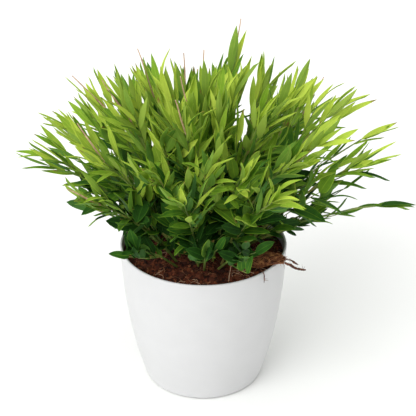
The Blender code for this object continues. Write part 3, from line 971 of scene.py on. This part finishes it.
# The foliage's outline
BOX_SPARE = 0.006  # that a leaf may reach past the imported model's box
CROWN_TOP = 0.294
CROWN_UNEVEN = 0.014
STRAY_OVER = 0.026  # that a stray may stand above the crown
CROWN_SLOPE = 0.45  # how the crown's top falls behind the middle
LIFTS = 8  # how often a leaf that hangs too low is raised a little
FRONT_LIFT = 0.50  # rise of the foliage's lower edge towards the front

# What makes a leaf lighter and yellower, partly its own tone and partly painted light: hanging out to
# the side, standing high, and chance; a leaf deep in the clump is painted darker as painted shade
LIT_FROM = 0.065
LIT_OVER = 0.06
HIGH_FROM = 0.175
HIGH_OVER = 0.085
TONE_CHANCE = 0.19

CROWN = Vector((0.0, 0.0, 0.125))  # where the shoots spread from

# Shoots whose tip has outgrown its leaves, a bare stalk
BARE_TIPPED = (4, 6, 8, 12, 13, 15, 17, 24, 27, 30, 36, 41)
STALK_LENGTH = (0.036, 0.050)

rng = np.random.default_rng(21)
low_corner = Vector(cad_bounds[0]) - Vector((BOX_SPARE,) * 3)
high_corner = Vector(cad_bounds[1]) + Vector((BOX_SPARE,) * 3)


def turned(along, angle, about):
    """A direction at an angle from another, on the side that the second angle gives."""
    side = along.orthogonal().normalized()
    side = Matrix.Rotation(about, 3, along) @ side
    return (along * cos(angle) + side * sin(angle)).normalized()


def inside_box(spot):
    """True if a place lies in the box that the leaves may fill."""
    return all(a < x < b for a, x, b in zip(low_corner, spot, high_corner))


def lowest_tip(spot):
    """How low a leaf's tip may hang there: clear of the soil, higher over the rim and in front."""
    out = sqrt(spot.x**2 + spot.y**2) / rim_radius
    over_rim = np.interp(out, (0.7, 0.95), (soil_top + 0.006, pot_top + 0.008))
    return max(float(over_rim), soil_top + 0.006 + FRONT_LIFT * max(0.0, -spot.y))


def lay_leaf(kinds, spot, heading, length, leaves):
    """Adds a leaf of one of the kinds: its matrix, and its state, which is tone (its own tone with
    painted light and shade), age and a spare.
    """
    while not inside_box(spot + heading * length) and length > 0.008:
        length *= 0.92
    for _ in range(LIFTS):
        tip = spot + heading * length
        if tip.z < lowest_tip(tip):
            heading = (heading + Vector((0, 0, 0.15))).normalized()
    outward = (spot + heading * length / 2 - CROWN).normalized()
    face = outward * 0.6 + Vector((0, 0, 0.7)) + Vector(rng.normal(0, 0.40, 3))
    face = (face - heading * face.dot(heading)).normalized()
    axes = Matrix((heading.cross(face), heading, face)).transposed().to_4x4()
    matrix = Matrix.Translation(spot) @ axes @ Matrix.Scale(length, 4)
    middle = spot + heading * length * 0.6
    sideways = sqrt(middle.x**2 + 0.36 * middle.y**2)
    outer = min(1.0, max(0.0, (sideways - LIT_FROM) / LIT_OVER))
    upper = min(1.0, max(0.0, (middle.z - HIGH_FROM) / HIGH_OVER))
    # Painted light and shade: a leaf out at the side, high up or to the left is painted lighter,
    # where the light falls, and one deep in the middle darker, where shade falls; partly also the
    # leaves' own tone
    tone_and_painted_light = 0.30 * outer + 0.78 * upper - 0.25 * middle.x + 0.03
    tone = min(1.0, max(0.0, tone_and_painted_light + rng.normal(0, TONE_CHANCE)))
    kind = kinds[int(rng.integers(len(kinds)))]
    leaves.setdefault(kind.name, []).append((matrix, (tone, rng.uniform(), rng.uniform())))


def crown_height(spot):
    """Height of a place over the crown's top, which slopes down behind the middle."""
    return spot.z + CROWN_SLOPE * max(0.0, spot.y)


def leaf_length(part):
    """The length of a leaf at a part of its culm: short below, long above."""
    return np.interp(part, LENGTH_AT, LEAF_LENGTHS) * rng.uniform(0.82, 1.12)


culms = []
foliage = []
stalks = []
for number, course in enumerate(courses, 1):
    length = sum((b - a).length for a, b in zip(course[1:], course[2:]))
    leaves = {}
    runs = []
    rank = rng.uniform(0, 2 * pi)
    stray = number <= len(STRAYS)
    low = course[-1].z < LOW_SHOOT and not stray
    lowest = FRONT_LOWEST_LEAF if low and course[1].y < -FRONT_FOOT else LOWEST_LEAF

    # The clump's crown is flat, so the shoots behind the middle end a little lower
    end = CULM_END
    crown = CROWN_TOP + (STRAY_OVER if stray else rng.normal(0, CROWN_UNEVEN))
    while end > LOWEST_END and crown_height(point_on(course, min(end + 0.2, 1.0))[0]) > crown:
        end -= 0.01
    stations = np.arange(lowest, end, LEAF_EVERY / length)
    size = LOW_LEAF if low else 1.0
    if stray:
        stations = stations[::2]

    # The culm, thicker for half a millimetre at each joint
    run = [(course[0], CULM_RADIUS[0]), (course[1], CULM_RADIUS[0])]
    for part in stations[::2]:
        for shift, swell in ((-0.0007, 1.0), (0.0, 1.35), (0.0007, 1.08)):
            spot, along = point_on(course, part)
            radius = CULM_RADIUS[0] + (CULM_RADIUS[1] - CULM_RADIUS[0]) * part
            run.append((spot + along * shift, radius * swell))
    run.append((point_on(course, end)[0], CULM_RADIUS[1]))
    runs.append(run)

    # Leaves on two ranks up the culm
    for index, part in enumerate(stations):
        spot, along = point_on(course, part)
        about = rank + pi * index + rng.normal(0, 0.5)
        if low or part < OVAL_BELOW and not stray:
            angle, kinds = rng.uniform(0.6, 1.3), ovals
        else:
            angle = np.interp(part, (OVAL_BELOW, end), (0.65, 0.22)) * rng.uniform(0.6, 1.25)
            kinds = lances if rng.uniform() < 0.75 else slenders
        lay_leaf(kinds, spot, turned(along, angle, about), leaf_length(part) * size, leaves)
    for angle in LOW_END_LEAVES if low else END_LEAVES:
        spot, along = point_on(course, end)
        heading = turned(along, angle * rng.uniform(0.7, 1.2), rng.uniform(0, 2 * pi))
        kinds = ovals if low else lances + slenders
        blade_length = leaf_length(1.0) * size * rng.uniform(0.9, 1.15)
        lay_leaf(kinds, spot, heading, blade_length, leaves)
    if number in BARE_TIPPED:
        spot, along = point_on(course, end)
        heading = turned(along, rng.uniform(0.05, 0.2), rng.uniform(0, 2 * pi))
        stalk = []
        for step in range(7):
            stalk.append((spot.copy(), 0.00090 - 0.00008 * step))
            spot = spot + heading * rng.uniform(*STALK_LENGTH) / 6
            heading = (heading + Vector(rng.normal(0, 0.03, 3))).normalized()
        stalks.append(stalk)

    # Side branches, each with its own leaves
    branch_parts = np.linspace(lowest, end - 0.13, BRANCHES) + rng.uniform(-0.03, 0.03, BRANCHES)
    branch_count = LOW_BRANCHES if low else STRAY_BRANCHES if stray else BRANCHES
    for part in branch_parts[:branch_count]:
        spot, along = point_on(course, part)
        heading = turned(along, rng.uniform(0.18, 0.45), rng.uniform(0, 2 * pi))
        reach = min(rng.uniform(0.024, 0.050), (end + 0.05 - part) * length)
        branch = []
        for step in range(BRANCH_LEAVES + 1):
            branch.append((spot.copy(), 0.00055 - 0.00006 * step))
            if step > 0:
                about = rng.uniform(0, 2 * pi) if step == BRANCH_LEAVES else rank + pi * step
                opening = 0.08 if step == BRANCH_LEAVES else rng.uniform(0.2, 0.5)
                kinds = lances if rng.uniform() < 0.75 else slenders
                if low or part < OVAL_BELOW and not stray:
                    opening, kinds = opening + LOW_OPENING, ovals
                leaf = turned(heading, opening, about + rng.normal(0, 0.4))
                lay_leaf(kinds, spot, leaf, leaf_length(part + 0.15) * size, leaves)
            spot = spot + heading * reach / BRANCH_LEAVES
            heading = (heading + along * 0.15).normalized()
        runs.append(branch)

    culm = tubes(f"shoot_{number:02d}_culm", runs)
    shade(culm, 50)
    culms.append(culm)
    blades = []
    for kind in lances + slenders + ovals:
        if kind.name in leaves:
            matrices, states = zip(*leaves[kind.name])
            blades.append(copies(kind, "blades", matrices, states))
    foliage.append(join(f"shoot_{number:02d}_leaves", blades))
discard(lances + slenders + ovals)

# Grass culm: smooth and solid, straw-green with browner patches, slightly glossy
green_culm, tree, surface = new_material("green_grass_culm")
place = add_node(tree, "ShaderNodeTexCoord").outputs["Object"]
patches = add_node(tree, "ShaderNodeTexNoise", Vector=place, Scale=90.0, Detail=3.0).outputs["Fac"]
stops = ((0.30, "#4E6A2A"), (0.55, "#7C9140"), (0.75, "#A08A4E"))
ramp = add_node(tree, "ShaderNodeValToRGB", stops=stops, Fac=patches)
tree.links.new(ramp.outputs["Color"], surface.inputs["Base Color"])
surface.inputs["Roughness"].default_value = 0.5
surface.inputs["Specular IOR Level"].default_value = 0.4
bare_tips = tubes("bare_shoot_tips", stalks)
shade(bare_tips, 50)
fit(bare_tips, dead_stem, "foliage")
for number, (culm, blades) in enumerate(zip(culms, foliage), 1):
    fit(culm, green_culm, "foliage", f"shoot_{number:02d}")
    fit(blades, living_blade, "foliage", f"shoot_{number:02d}")
